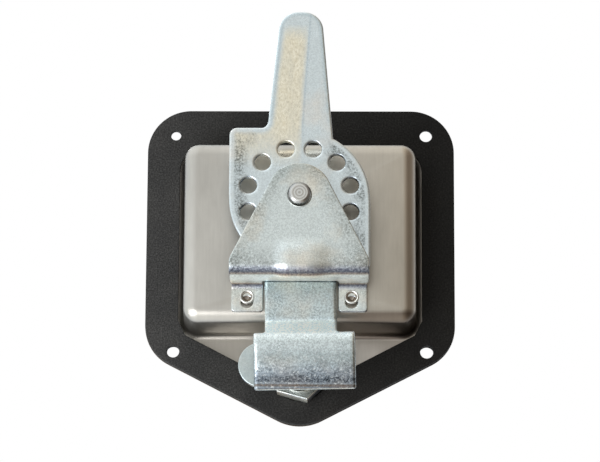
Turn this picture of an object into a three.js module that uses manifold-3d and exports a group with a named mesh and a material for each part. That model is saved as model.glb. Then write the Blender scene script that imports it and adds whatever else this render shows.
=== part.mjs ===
// Folding T-handle slam latch, seen and drawn from its inside: a dished pan with a gasket, a spindle
// that carries a toggle plate with a long finger, a sprung bolt under a bracket, and a cam lock.
//
// Working axes inside the outer group: x to the right and y up as seen from the rear of the door,
// and h, the height above the rear face of the pan's flange. The origin is on the spindle's axis.
// The outer group turns h to the latch's -Y, so that +Z is up and the handle faces +Y.

import * as THREE from 'three';
import { mergeVertices } from 'three/addons/utils/BufferGeometryUtils.js';
import Module from 'manifold-3d';

const wasm = await Module();
wasm.setup();

// ---------------------------------------------------------------- driving dimensions, millimetres
const GAP = 0.3; // between pieces that touch
const RUNNING = 0.15; // between a shaft and what turns on it
const PAST = 2; // how far a cutter reaches past the face it cuts

const PAN = {
  sheet: 1.5, halfWidth: 60.3, top: 44.4, shoulder: -52.45, apex: -83.8, corner: 17, apexRadius: 18.6,
  holeX: 49.2, holeTop: 34.3, holeBottom: -53, holeRadius: 2.9,
};
const DISH = {
  halfWidth: 44.6, top: 25.6, bottom: -44.9, corner: 5.6, depth: 24, draft: THREE.MathUtils.degToRad(1.5),
  edgeRadius: 5, rootRadius: 2.3,
};
const GASKET = {
  thickness: 2.8, inset: 0.1, slope: 0.516, innerApex: -69.1, innerApexRadius: 6, holeRadius: 2.8,
};
const BRACKET = {
  sheet: 2, top: 42.5, halfWidth: 26.6, face: -31, apexRadius: 12.4, shoulder: -25, hole: 4.5,
  bend: 3, foot: 26.3, footEnd: -42, footInner: 14.8, footOuter: 26, notchTop: 30.3,
};
const BEAD = { y: -25.2, h: 40.8, halfWidth: 8.6, halfLength: 7, rise: 3.2 };
const RIVET = { x: 20, y: -36.3, shank: 2, head: 2.75, headHeight: 1.2, recess: 1.5, tail: 3.2 };
const SPINDLE = {
  hub: 10.5, hubFront: 3, hubRear: 20.2, shaft: 5, shaftEnd: 30.6, square: 8.4, squareEnd: 36.6,
  stub: 4, end: 45.9, bevel: 0.8, groove: 3.3, grooveLow: 38.8, grooveHigh: 40.2,
};
const BUSHING = {
  outer: 6.85, front: 22.2, flange: 8.2, flangeTop: 25.1, lug: 3.7, lugEnd: -7, lugTop: 30.4,
};
const O_RING = { radius: 7.6, section: 0.85, h: 21.35 };
const CAM_DISC = { radius: 11.5, low: 31, high: 33.7 };
const DRIVE_PIN = { radius: 1.5, throwRadius: 8, low: 26.9, high: 33.8 };
const PLATE = {
  low: 34, high: 36.5, radius: 26.9, ear: 27, earReach: 28, earRadius: 3, earInner: 12.4,
  ringRadius: 20.2, ringHole: 3.2, ringCount: 12, tip: 74.6, tipHalf: 7.9, tipRadius: 7.4,
  base: 12.6, lean: 0.35, rootFillet: 2.7,
};
const WASHER = { low: 36.8, high: 38.5, inner: 4.45, outer: 8 };
const CLIP = { low: 38.95, high: 40.05, inner: 3.55, outer: 6, mouth: 4.4 };
const HINGE = { h: 8.5, pin: 1.8, halfLength: 10 };
const HANDLE = { eye: 5, halfShank: 4, barY: -32, barHalf: 24, barRadius: 5.5, thickness: 9.2, edge: 1 };
const DETENT = { radius: 2, low: 14.1, body: 17, bore: 19.6, slotTop: 14.2, wire: 0.2, turns: 3 };
const BOLT = {
  sheet: 3, mid: 28, neckLeft: 14, neckRight: 13.4, top: 14.5, topRadius: 5, noseLeft: 18.4, noseRight: 20.2,
  noseY: -52.8, bendRadius: 2.5, noseCorner: 1, neckFillet: 1.5, tilt: THREE.MathUtils.degToRad(1.2),
};
const BOLT_PATH = [ // y, h and inner bend radius along the middle of the sheet
  [BOLT.top, BOLT.mid, 0],
  [-47, BOLT.mid, BOLT.bendRadius],
  [-54, 34.8, BOLT.bendRadius],
  [-65, 32.6, 14],
  [-72.3, 27.4, 0],
];
const SLOT = {
  half: 5.4, top: 5.6, wideEnd: -17.2, spring: 4.2, end: -25.6, drive: 10.4, driveTop: -3.4, driveEnd: -18.9,
};
const BOLT_SPRING = { top: -7.2, bottom: -25.3, radius: 2.2, wire: 0.4, turns: 7 };
const LOCK = {
  y: -61.2, body: 8, flat: 7.1, front: -4.2, head: 9.5, headRear: -1.8, rear: 16.5, bore: 6, key: 0.7,
};
const LOCK_SPACER = { low: 0.3, high: 3, outer: 10.6 };
const LOCK_NUT = { low: 3.2, high: 9.3, flats: 21.2, turn: THREE.MathUtils.degToRad(14.5) };
const LOCK_CAM = { low: 17, high: 19, reach: 14.7, radius: 8.7, square: 6 };
const CAM_SCREW = { shank: 1.5, low: 10, headLow: 20.4, headHigh: 22.6, head: 4.2, slot: 0.6 };

// ---------------------------------------------------------------- shape helpers

function solid(geometry) {
  const bare = geometry.clone();
  bare.deleteAttribute('normal');
  bare.deleteAttribute('uv');
  const merged = mergeVertices(bare, 1e-4);
  return new wasm.Manifold(new wasm.Mesh({
    numProp: 3,
    vertProperties: merged.attributes.position.array,
    triVerts: new Uint32Array(merged.index.array),
  }));
}

function geometryOf(body) {
  const mesh = body.getMesh();
  const geometry = new THREE.BufferGeometry();
  geometry.setAttribute('position', new THREE.BufferAttribute(mesh.vertProperties, 3));
  geometry.setIndex(new THREE.BufferAttribute(mesh.triVerts, 1));
  geometry.computeVertexNormals();
  return geometry;
}

function disc(x, y, radius, low, high, sides = 36) {
  const geometry = new THREE.CylinderGeometry(radius, radius, high - low, sides);
  return solid(geometry.rotateX(Math.PI / 2).translate(x, y, (low + high) / 2));
}

function block(x0, x1, y0, y1, low, high) {
  const geometry = new THREE.BoxGeometry(x1 - x0, y1 - y0, high - low);
  return solid(geometry.translate((x0 + x1) / 2, (y0 + y1) / 2, (low + high) / 2));
}

function slab(shape, low, high, steps = 4) {
  const geometry = new THREE.ExtrudeGeometry(shape, {
    depth: high - low, bevelEnabled: false, curveSegments: steps,
  });
  return solid(geometry.translate(0, 0, low));
}

// A side profile drawn in y and h, given its width along x.
function rail(shape, halfWidth, steps = 4) {
  const geometry = new THREE.ExtrudeGeometry(shape, {
    depth: 2 * halfWidth, bevelEnabled: false, curveSegments: steps,
  });
  const y = new THREE.Vector3(0, 1, 0);
  const h = new THREE.Vector3(0, 0, 1);
  const x = new THREE.Vector3(1, 0, 0);
  geometry.applyMatrix4(new THREE.Matrix4().makeBasis(y, h, x));
  return solid(geometry.translate(-halfWidth, 0, 0));
}

// A turned body about the h axis, from [radius, h] pairs with the outside going up.
function turned(profile, x = 0, y = 0, sides = 32) {
  const points = profile.map(([radius, h]) => new THREE.Vector2(radius, h));
  return solid(new THREE.LatheGeometry(points, sides).rotateX(Math.PI / 2).translate(x, y, 0));
}

function ring(inner, outer, low, high, x = 0, y = 0, sides = 32) {
  return turned([[inner, low], [outer, low], [outer, high], [inner, high], [inner, low]], x, y, sides);
}

// A polygon of [x, y, radius] corners whose corners are arcs.
function rounded(corners) {
  const shape = new THREE.Shape();
  corners.forEach(([x, y, radius], i) => {
    const before = corners[(i + corners.length - 1) % corners.length];
    const after = corners[(i + 1) % corners.length];
    const corner = new THREE.Vector2(x, y);
    const back = new THREE.Vector2(before[0] - x, before[1] - y).normalize();
    const on = new THREE.Vector2(after[0] - x, after[1] - y).normalize();
    const half = Math.acos(THREE.MathUtils.clamp(back.dot(on), -1, 1)) / 2;
    const reach = radius / Math.tan(half);
    const first = corner.clone().addScaledVector(back, reach);
    const last = corner.clone().addScaledVector(on, reach);
    if (i === 0) shape.moveTo(first.x, first.y);
    else shape.lineTo(first.x, first.y);
    if (radius > 0) {
      const inward = back.clone().add(on).normalize();
      const centre = corner.clone().addScaledVector(inward, radius / Math.sin(half));
      const a0 = Math.atan2(first.y - centre.y, first.x - centre.x);
      const a1 = Math.atan2(last.y - centre.y, last.x - centre.x);
      shape.absarc(centre.x, centre.y, radius, a0, a1, back.cross(on) > 0);
    }
  });
  shape.closePath();
  return shape;
}

// The outline of a bent sheet from the path along its middle.
function sheetProfile(path, thickness) {
  const sides = [1, -1].map((side) => path.map(([y, h, radius], i) => {
    const here = new THREE.Vector2(y, h);
    const next = path[Math.min(i + 1, path.length - 1)];
    const last = path[Math.max(i - 1, 0)];
    const a = new THREE.Vector2(y - last[0], h - last[1]).normalize();
    const b = new THREE.Vector2(next[0] - y, next[1] - h).normalize();
    if (i === 0) a.copy(b);
    if (i === path.length - 1) b.copy(a);
    const normal = new THREE.Vector2(-(a.y + b.y), a.x + b.x).normalize();
    const mitre = thickness / 2 / new THREE.Vector2(-a.y, a.x).dot(normal);
    const point = here.addScaledVector(normal, side * mitre);
    const outside = a.cross(b) * side < 0;
    return [point.x, point.y, radius > 0 && outside ? radius + thickness : radius];
  }));
  return rounded([...sides[0], ...sides[1].reverse()]);
}

function helix(radius, wire, turns, length, steps = 10, sides = 6) {
  const points = [];
  for (let i = 0; i <= turns * steps; i += 1) {
    const angle = (i / steps) * 2 * Math.PI;
    const along = wire + (length - 2 * wire) * (i / (turns * steps));
    points.push(new THREE.Vector3(radius * Math.cos(angle), radius * Math.sin(angle), along));
  }
  const section = new THREE.Shape();
  section.setFromPoints(Array.from({ length: sides }, (_, i) => {
    const angle = (i / sides) * 2 * Math.PI;
    return new THREE.Vector2(wire * Math.cos(angle), wire * Math.sin(angle));
  }));
  return new THREE.ExtrudeGeometry(section, {
    steps: turns * steps, extrudePath: new THREE.CatmullRomCurve3(points), curveSegments: 1,
  });
}

// ---------------------------------------------------------------- the dish of the pan

// A rounded rectangle of the dish's plan, grown outwards by an offset, at height h.
function dishRing(offset, h, cornerSteps = 6) {
  const radius = DISH.corner + offset;
  const x = DISH.halfWidth + offset - radius;
  const top = DISH.top + offset - radius;
  const bottom = DISH.bottom - offset + radius;
  const centres = [[x, top], [-x, top], [-x, bottom], [x, bottom]];
  return centres.flatMap(([cx, cy], quarter) => Array.from({ length: cornerSteps + 1 }, (_, i) => {
    const angle = (quarter + i / cornerSteps) * (Math.PI / 2);
    return [cx + radius * Math.cos(angle), cy + radius * Math.sin(angle), h];
  }));
}

function loft(rings) {
  const count = rings[0].length;
  const vertices = rings.flat(2);
  const faces = [];
  for (let r = 0; r + 1 < rings.length; r += 1) {
    for (let i = 0; i < count; i += 1) {
      const a = r * count + i;
      const b = r * count + ((i + 1) % count);
      faces.push(a, b, b + count, a, b + count, a + count);
    }
  }
  const lastRing = (rings.length - 1) * count;
  for (let i = 1; i + 1 < count; i += 1) {
    faces.push(0, i + 1, i);
    faces.push(lastRing, lastRing + i, lastRing + i + 1);
  }
  const geometry = new THREE.BufferGeometry();
  geometry.setAttribute('position', new THREE.Float32BufferAttribute(vertices, 3));
  geometry.setIndex(faces);
  return solid(geometry);
}

// How far outside the dish's plan its root meets the flange.
function rootOffset() {
  const { depth, draft, rootRadius } = DISH;
  return (rootRadius + (depth - rootRadius) * Math.sin(draft)) / Math.cos(draft);
}

// The dish's surface moved outwards by a distance: 0 is the rear skin, minus the sheet is the inside.
function dish(move, floor) {
  const { depth, draft, edgeRadius, rootRadius } = DISH;
  const sin = Math.sin(draft);
  const cos = Math.cos(draft);
  const root = [rootOffset(), rootRadius];
  const edge = [(-edgeRadius * (1 - sin)) / cos, depth - edgeRadius];
  const rings = [dishRing(root[0], floor)];
  const steps = 5;
  for (let i = 0; i <= steps; i += 1) {
    const angle = Math.PI / 2 + (i / steps) * (Math.PI / 2 - draft);
    const reach = rootRadius - move;
    const h = root[1] - reach * Math.sin(angle);
    rings.push(dishRing(root[0] + reach * Math.cos(angle), h));
  }
  for (let i = 0; i <= steps; i += 1) {
    const angle = draft + (i / steps) * (Math.PI / 2 - draft);
    const reach = edgeRadius + move;
    rings.push(dishRing(edge[0] + reach * Math.cos(angle), edge[1] + reach * Math.sin(angle)));
  }
  return loft(rings);
}

const mountHoles = [PAN.holeTop, PAN.holeBottom].flatMap((y) => [-PAN.holeX, PAN.holeX].map((x) => [x, y]));

function flangeOutline(inset) {
  return rounded([
    [PAN.halfWidth - inset, PAN.top - inset, PAN.corner],
    [-PAN.halfWidth + inset, PAN.top - inset, PAN.corner],
    [-PAN.halfWidth + inset, PAN.shoulder + inset / 2, PAN.corner],
    [0, PAN.apex + inset, PAN.apexRadius],
    [PAN.halfWidth - inset, PAN.shoulder + inset / 2, PAN.corner],
  ]);
}

function pan() {
  const low = -PAN.sheet;
  let body = slab(flangeOutline(0), low, 0).add(dish(0, low / 2)).subtract(dish(low, low - PAST));
  for (const [x, y] of mountHoles) {
    body = body.subtract(disc(x, y, PAN.holeRadius, low - PAST, PAST, 20));
  }
  for (const side of [-1, 1]) {
    const hole = disc(0, 0, RIVET.shank + GAP, DISH.depth - 2 * PAST, DISH.depth + PAST, 20);
    body = body.subtract(hole.translate([side * RIVET.x, RIVET.y, 0]));
  }
  const spindleHole = disc(0, 0, BUSHING.outer + GAP, DISH.depth - 2 * PAST, DISH.depth + PAST);
  const lockHole = disc(0, LOCK.y, LOCK.body + GAP, low - PAST, PAST);
  return body.subtract(spindleHole).subtract(lockHole);
}

function gasket() {
  const low = GAP / 3;
  const high = low + GASKET.thickness;
  const around = dishRing(rootOffset(), 0).map(([x, y]) => new THREE.Vector2(x, y));
  let body = slab(flangeOutline(GASKET.inset), low, high);
  body = body.subtract(slab(new THREE.Shape(around), low - PAST, high + PAST));
  const x = DISH.halfWidth + rootOffset();
  const side = GASKET.innerApex + DISH.halfWidth * GASKET.slope;
  const opening = rounded([
    [x, DISH.bottom + DISH.corner, 0],
    [-x, DISH.bottom + DISH.corner, 0],
    [-DISH.halfWidth, side, 0],
    [0, GASKET.innerApex, GASKET.innerApexRadius],
    [DISH.halfWidth, side, 0],
  ]);
  body = body.subtract(slab(opening, low - PAST, high + PAST));
  for (const [holeX, holeY] of mountHoles) {
    body = body.subtract(disc(holeX, holeY, GASKET.holeRadius, low - PAST, high + PAST, 20));
  }
  return body.subtract(disc(0, LOCK.y, LOCK_SPACER.outer + GAP, low - PAST, high + PAST));
}

// ---------------------------------------------------------------- bracket and its rivets

function bracket() {
  const { sheet, top, face, bend, foot, footEnd, halfWidth, apexRadius, shoulder } = BRACKET;
  const side = rounded([
    [apexRadius + PAST, top, 0],
    [face, top, bend + sheet],
    [face, foot, bend],
    [footEnd, foot, 0],
    [footEnd, foot - sheet, 0],
    [face + sheet, foot - sheet, bend + sheet],
    [face + sheet, top - sheet, bend],
    [apexRadius + PAST, top - sheet, 0],
  ]);
  const tangent = Math.atan2(shoulder, halfWidth) + Math.acos(apexRadius / Math.hypot(halfWidth, shoulder));
  const front = new THREE.Shape();
  front.moveTo(halfWidth, footEnd - PAST);
  front.lineTo(halfWidth, shoulder);
  front.absarc(0, 0, apexRadius, tangent, Math.PI - tangent, false);
  front.lineTo(-halfWidth, shoulder);
  front.lineTo(-halfWidth, footEnd - PAST);
  front.closePath();
  let body = rail(side, halfWidth + PAST).intersect(slab(front, 0, top + PAST, 8));
  const bead = new THREE.SphereGeometry(1, 24, 12).scale(BEAD.halfWidth, BEAD.halfLength, BEAD.rise);
  body = body.add(solid(bead.translate(0, BEAD.y, BEAD.h)));
  const flangeFront = face + sheet + bend + PAST;
  const { footInner, notchTop } = BRACKET;
  const notch = block(-footInner, footInner, footEnd - PAST, flangeFront, 0, notchTop);
  body = body.subtract(notch).subtract(disc(0, 0, BRACKET.hole, top - 2 * sheet, top + PAST));
  for (const s of [-1, 1]) {
    const hole = disc(s * RIVET.x, RIVET.y, RIVET.shank + GAP, foot - 2 * sheet, foot + PAST, 20);
    const strip = block(0, PAST * 2, footEnd - PAST, face - sheet, 0, foot + PAST);
    const trim = strip.translate([BRACKET.footOuter, 0, 0]);
    body = body.subtract(hole).subtract(s > 0 ? trim : trim.mirror([1, 0, 0]));
  }
  return body;
}

function footRivet(x) {
  const headLow = BRACKET.foot + GAP / 3;
  const headHigh = headLow + RIVET.headHeight;
  const tailHigh = DISH.depth - PAN.sheet - GAP / 3;
  const tailLow = tailHigh - RIVET.headHeight;
  return turned([
    [0, tailLow],
    [RIVET.tail, tailLow],
    [RIVET.tail, tailHigh],
    [RIVET.shank, tailHigh],
    [RIVET.shank, headLow],
    [RIVET.head, headLow],
    [RIVET.head, headHigh - RIVET.headHeight / 3],
    [RIVET.head - RIVET.headHeight / 3, headHigh],
    [RIVET.recess, headHigh],
    [0, headLow - RIVET.recess],
  ], x, RIVET.y, 24);
}

// ---------------------------------------------------------------- spindle and what turns with it

function spindleBushing() {
  const bore = SPINDLE.shaft + RUNNING;
  const { lug: side, lugEnd, lugTop, flangeTop } = BUSHING;
  const lug = block(-side, side, lugEnd, -bore / 2, flangeTop - 0.5, lugTop);
  const sleeve = ring(bore, BUSHING.outer, BUSHING.front, flangeTop);
  const flange = ring(bore, BUSHING.flange, DISH.depth + GAP, flangeTop);
  return sleeve.add(flange).add(lug).subtract(disc(0, 0, bore, 0, lugTop + PAST));
}

function spindleORing() {
  const sides = 8;
  const profile = Array.from({ length: sides + 1 }, (_, i) => {
    const angle = (i / sides) * 2 * Math.PI;
    return [O_RING.radius + O_RING.section * Math.cos(angle), O_RING.h + O_RING.section * Math.sin(angle)];
  });
  return turned(profile);
}

function spindle() {
  const s = SPINDLE;
  const half = s.square / 2;
  const hub = disc(0, 0, s.hub, s.hubFront, s.hubRear, 48);
  const shaft = disc(0, 0, s.shaft, s.hubRear - 1, s.shaftEnd);
  const round = disc(0, 0, s.shaft, s.shaftEnd - 1, s.squareEnd);
  const square = block(-half, half, -half, half, s.shaftEnd - 1, s.squareEnd).intersect(round);
  const stub = turned([
    [0, s.squareEnd - 1],
    [s.stub, s.squareEnd - 1],
    [s.stub, s.grooveLow],
    [s.groove, s.grooveLow],
    [s.groove, s.grooveHigh],
    [s.stub, s.grooveHigh],
    [s.stub, s.end - s.bevel],
    [s.stub - s.bevel, s.end],
    [0, s.end],
  ]);
  const reach = s.hub + PAST;
  const slotHalf = HANDLE.halfShank + GAP;
  const slot = block(-slotHalf, slotHalf, -reach, reach, s.hubFront - PAST, DETENT.slotTop);
  const cross = new THREE.CylinderGeometry(HINGE.pin + RUNNING, HINGE.pin + RUNNING, 2 * reach, 24);
  const pinHole = solid(cross.rotateZ(Math.PI / 2).translate(0, 0, HINGE.h));
  const detentBore = disc(0, 0, DETENT.radius + RUNNING, DETENT.slotTop - PAST, DETENT.bore, 20);
  return hub.add(shaft).add(square).add(stub).subtract(slot).subtract(pinHole).subtract(detentBore);
}

// The spindle's square is a round bar with four flats, so the holes it drives have rounded corners.
function squareHole(side, low, high) {
  const half = side / 2 + RUNNING;
  const round = disc(0, 0, SPINDLE.shaft + RUNNING, low - PAST, high + PAST);
  return block(-half, half, -half, half, low - PAST, high + PAST).intersect(round);
}

const throwXY = DRIVE_PIN.throwRadius * Math.SQRT1_2;

function driveCam() {
  const { radius, low, high } = CAM_DISC;
  const hole = disc(throwXY, -throwXY, DRIVE_PIN.radius + RUNNING, low - PAST, high + PAST, 20);
  return disc(0, 0, radius, low, high, 48).subtract(squareHole(SPINDLE.square, low, high)).subtract(hole);
}

function drivePin() {
  return disc(throwXY, -throwXY, DRIVE_PIN.radius, DRIVE_PIN.low, DRIVE_PIN.high, 20);
}

function togglePlate() {
  const p = PLATE;
  const finger = rounded([
    [p.base, 0, 0],
    [p.lean + p.tipHalf, p.tip, p.tipRadius],
    [p.lean - p.tipHalf, p.tip, p.tipRadius],
    [-p.earInner, p.earReach, p.rootFillet],
    [-p.ear, p.earReach, p.earRadius],
    [-p.ear, 0, 0],
  ]);
  const stop = rounded([
    [0, 0, 0],
    [p.earInner, -p.earReach, 0],
    [p.ear, -p.earReach, p.earRadius],
    [p.ear, 0, 0],
  ]);
  let body = disc(0, 0, p.radius, p.low, p.high, 72).add(slab(finger, p.low, p.high, 5));
  body = body.add(slab(stop, p.low, p.high)).subtract(squareHole(SPINDLE.square, p.low, p.high));
  for (let i = 0; i < p.ringCount; i += 1) {
    const angle = ((i + 0.5) / p.ringCount) * 2 * Math.PI;
    const x = p.ringRadius * Math.cos(angle);
    const y = p.ringRadius * Math.sin(angle);
    body = body.subtract(disc(x, y, p.ringHole, p.low - PAST, p.high + PAST, 20));
  }
  return body;
}

function retainingRing() {
  const mouth = block(-CLIP.mouth / 2, CLIP.mouth / 2, -2 * CLIP.outer, 0, CLIP.low - PAST, CLIP.high + PAST);
  return ring(CLIP.inner, CLIP.outer, CLIP.low, CLIP.high, 0, 0, 32).subtract(mouth);
}

// ---------------------------------------------------------------- folding handle

function hingePin() {
  const geometry = new THREE.CylinderGeometry(HINGE.pin, HINGE.pin, 2 * HINGE.halfLength, 24);
  return solid(geometry.rotateZ(Math.PI / 2).translate(0, 0, HINGE.h));
}

function tHandle() {
  const { eye, halfShank, barY, barHalf, barRadius, thickness, edge } = HANDLE;
  const low = HINGE.h - thickness / 2;
  const high = HINGE.h + thickness / 2;
  const bar = rounded([
    [barHalf, barY - barRadius, barRadius - edge / 10],
    [barHalf, barY + barRadius, barRadius - edge / 10],
    [-barHalf, barY + barRadius, barRadius - edge / 10],
    [-barHalf, barY - barRadius, barRadius - edge / 10],
  ]);
  const bevelled = new THREE.ExtrudeGeometry(bar, {
    depth: thickness - 2 * edge, bevelThickness: edge, bevelSize: edge, bevelOffset: -edge,
    bevelSegments: 2, curveSegments: 4,
  });
  const shank = rail(rounded([
    [0, low, 0],
    [0, high, 0],
    [barY, high - edge, 0],
    [barY, low + edge, 0],
  ]), halfShank);
  const boss = new THREE.CylinderGeometry(eye, eye, 2 * halfShank, 32);
  const bore = new THREE.CylinderGeometry(HINGE.pin + RUNNING, HINGE.pin + RUNNING, 4 * halfShank, 24);
  const body = solid(bevelled.translate(0, 0, low + edge)).add(shank);
  const eyeSolid = solid(boss.rotateZ(Math.PI / 2).translate(0, 0, HINGE.h));
  return body.add(eyeSolid).subtract(solid(bore.rotateZ(Math.PI / 2).translate(0, 0, HINGE.h)));
}

function detentPlunger() {
  const { radius, low, body } = DETENT;
  const nose = [[0, low], [radius / 2, low + radius / 8], [radius, low + radius / 2]];
  return turned([...nose, [radius, body], [0, body]], 0, 0, 20);
}

function detentSpring() {
  const length = DETENT.bore - DETENT.body - GAP;
  const coil = helix(DETENT.radius - DETENT.wire * 2, DETENT.wire, DETENT.turns, length);
  return solid(coil.translate(0, 0, DETENT.body + GAP / 2));
}

// ---------------------------------------------------------------- bolt and its spring

function bolt() {
  const b = BOLT;
  const end = BOLT_PATH.at(-1)[0] - 2 * PAST;
  const front = rounded([
    [b.neckRight, b.top, b.topRadius],
    [-b.neckLeft, b.top, b.topRadius],
    [-b.neckLeft, b.noseY, b.neckFillet],
    [-b.noseLeft, b.noseY, b.noseCorner],
    [-b.noseLeft, end, 0],
    [b.noseRight, end, 0],
    [b.noseRight, b.noseY, b.noseCorner],
    [b.neckRight, b.noseY, b.neckFillet],
  ]);
  const slotHole = rounded([
    [SLOT.half, SLOT.top, SLOT.half - 1],
    [-SLOT.half, SLOT.top, SLOT.half - 1],
    [-SLOT.half, SLOT.wideEnd, 1],
    [-SLOT.spring, SLOT.wideEnd, 0],
    [-SLOT.spring, SLOT.end, 1],
    [SLOT.spring, SLOT.end, 1],
    [SLOT.spring, SLOT.driveEnd, 0],
    [SLOT.drive, SLOT.driveEnd, 1],
    [SLOT.drive, SLOT.driveTop, 1],
    [SLOT.half, SLOT.driveTop, 0],
  ]);
  const strap = rail(sheetProfile(BOLT_PATH, b.sheet), b.noseRight + PAST, 3);
  return strap.intersect(slab(front, 0, 60)).subtract(slab(slotHole, 0, 60));
}

function boltSpring() {
  const { top, bottom, radius, wire, turns } = BOLT_SPRING;
  const coil = helix(radius, wire, turns, top - bottom);
  return solid(coil.rotateX(Math.PI / 2).translate(0, top, BOLT.mid));
}

// ---------------------------------------------------------------- cam lock

function lockBody() {
  const shell = turned([
    [LOCK.bore, LOCK.front],
    [LOCK.head, LOCK.front],
    [LOCK.head, LOCK.headRear],
    [LOCK.body, LOCK.headRear],
    [LOCK.body, LOCK.rear],
    [LOCK.bore, LOCK.rear],
    [LOCK.bore, LOCK.front],
  ], 0, LOCK.y, 48);
  const { y, flat, head, front, headRear, rear } = LOCK;
  const flats = block(-flat, flat, y - head, y + head, headRear, rear + 1);
  const face = block(-head - 1, head + 1, y - head - 1, y + head + 1, front - 1, 0);
  return shell.intersect(flats.add(face));
}

function lockSpacer() {
  return ring(LOCK.body + RUNNING, LOCK_SPACER.outer, LOCK_SPACER.low, LOCK_SPACER.high, 0, LOCK.y);
}

function lockNut() {
  const geometry = new THREE.CylinderGeometry(1, 1, LOCK_NUT.high - LOCK_NUT.low, 6);
  const corner = LOCK_NUT.flats / Math.sqrt(3);
  geometry.rotateX(Math.PI / 2).scale(corner, corner, 1).rotateZ(LOCK_NUT.turn);
  const hex = solid(geometry.translate(0, LOCK.y, (LOCK_NUT.low + LOCK_NUT.high) / 2));
  const chamfer = turned([
    [0, LOCK_NUT.low],
    [corner, LOCK_NUT.low],
    [corner, LOCK_NUT.high - 1],
    [LOCK_NUT.flats / 2 - 0.2, LOCK_NUT.high],
    [0, LOCK_NUT.high],
  ], 0, LOCK.y, 36);
  return hex.intersect(chamfer).subtract(disc(0, LOCK.y, LOCK.body + RUNNING, 0, LOCK_NUT.high + PAST, 40));
}

function lockPlug() {
  const core = disc(0, LOCK.y, LOCK.bore - RUNNING, LOCK.front + GAP, LOCK.rear + GAP / 2, 40);
  const half = LOCK_CAM.square / 2;
  const tail = block(-half, half, LOCK.y - half, LOCK.y + half, LOCK.rear - 1, LOCK_CAM.high + RUNNING);
  const reach = LOCK.bore * 0.6;
  const key = block(-LOCK.key, LOCK.key, LOCK.y - reach, LOCK.y + reach, LOCK.front - 1, 4);
  const bore = disc(0, LOCK.y, CAM_SCREW.shank + RUNNING, CAM_SCREW.low - GAP, LOCK_CAM.high + PAST, 20);
  return core.add(tail).subtract(key).subtract(bore);
}

function lockCam() {
  const { low, high, reach, radius, square } = LOCK_CAM;
  const arm = block(-reach, 0, LOCK.y - radius, LOCK.y + radius, low, high);
  const end = disc(-reach, LOCK.y, radius, low, high, 48);
  const body = disc(0, LOCK.y, radius, low, high, 48).add(arm).add(end);
  return body.subtract(squareHole(square, low, high).translate([0, LOCK.y, 0]));
}

function camWasher() {
  return ring(CAM_SCREW.shank + GAP, 5, LOCK_CAM.high + GAP, CAM_SCREW.headLow - GAP, 0, LOCK.y, 28);
}

function camScrew() {
  const s = CAM_SCREW;
  const body = turned([
    [0, s.low],
    [s.shank, s.low],
    [s.shank, s.headLow],
    [s.head, s.headLow],
    [s.head, s.headHigh - 0.8],
    [s.head - 0.8, s.headHigh],
    [0, s.headHigh],
  ], 0, LOCK.y, 28);
  const arm = s.head * 0.7;
  const low = s.headHigh - 1.2;
  const across = block(-arm, arm, LOCK.y - s.slot, LOCK.y + s.slot, low, s.headHigh + 1);
  const down = block(-s.slot, s.slot, LOCK.y - arm, LOCK.y + arm, low, s.headHigh + 1);
  return body.subtract(across).subtract(down);
}

// ---------------------------------------------------------------- the assembly

const FINISH = {
  stainless: { color: 0xa39c92, roughness: 0.38, metalness: 1 },
  zinc: { color: 0xbcc2bd, roughness: 0.32, metalness: 1 },
  turnedSteel: { color: 0xc6c4be, roughness: 0.24, metalness: 1 },
  springSteel: { color: 0x8d8d8a, roughness: 0.35, metalness: 1 },
  chrome: { color: 0xd5d6d4, roughness: 0.15, metalness: 1 },
  brass: { color: 0xb59a5a, roughness: 0.35, metalness: 1 },
  rubber: { color: 0x171717, roughness: 0.85, metalness: 0 },
};

function piece(name, body, finish) {
  const mesh = new THREE.Mesh(geometryOf(body), new THREE.MeshStandardMaterial(FINISH[finish]));
  mesh.name = name;
  return mesh;
}

const fixed = new THREE.Group();
fixed.add(
  piece('pan', pan(), 'stainless'),
  piece('gasket', gasket(), 'rubber'),
  piece('bracket', bracket(), 'zinc'),
  piece('foot_rivet_left', footRivet(-RIVET.x), 'turnedSteel'),
  piece('foot_rivet_right', footRivet(RIVET.x), 'turnedSteel'),
  piece('spindle_bushing', spindleBushing(), 'brass'),
  piece('spindle_o_ring', spindleORing(), 'rubber'),
  piece('bolt_spring', boltSpring(), 'springSteel'),
  piece('lock_body', lockBody(), 'chrome'),
  piece('lock_spacer', lockSpacer(), 'zinc'),
  piece('lock_nut', lockNut(), 'zinc'),
);

const turning = new THREE.Group();
turning.add(
  piece('spindle', spindle(), 'turnedSteel'),
  piece('drive_cam', driveCam(), 'zinc'),
  piece('drive_pin', drivePin(), 'turnedSteel'),
  piece('toggle_plate', togglePlate(), 'zinc'),
  piece('plate_washer', ring(WASHER.inner, WASHER.outer, WASHER.low, WASHER.high), 'turnedSteel'),
  piece('retaining_ring', retainingRing(), 'springSteel'),
  piece('hinge_pin', hingePin(), 'turnedSteel'),
  piece('detent_plunger', detentPlunger(), 'turnedSteel'),
  piece('detent_spring', detentSpring(), 'springSteel'),
);

const handle = new THREE.Group();
handle.add(piece('t_handle', tHandle(), 'stainless'));

const sliding = new THREE.Group();
sliding.rotation.z = BOLT.tilt;
sliding.add(piece('bolt', bolt(), 'zinc'));

const locking = new THREE.Group();
locking.add(
  piece('lock_plug', lockPlug(), 'brass'),
  piece('lock_cam', lockCam(), 'zinc'),
  piece('cam_washer', camWasher(), 'zinc'),
  piece('cam_screw', camScrew(), 'zinc'),
);

const latch = new THREE.Group();
latch.rotation.x = Math.PI / 2;
latch.add(fixed, turning, handle, sliding, locking);

export default latch;
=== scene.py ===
"""Looks of a folding T-handle slam latch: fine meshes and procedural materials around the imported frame."""
import math

import bmesh
import bpy
import numpy as np
from mathutils import Matrix, Vector
from mathutils.geometry import delaunay_2d_cdt


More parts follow.
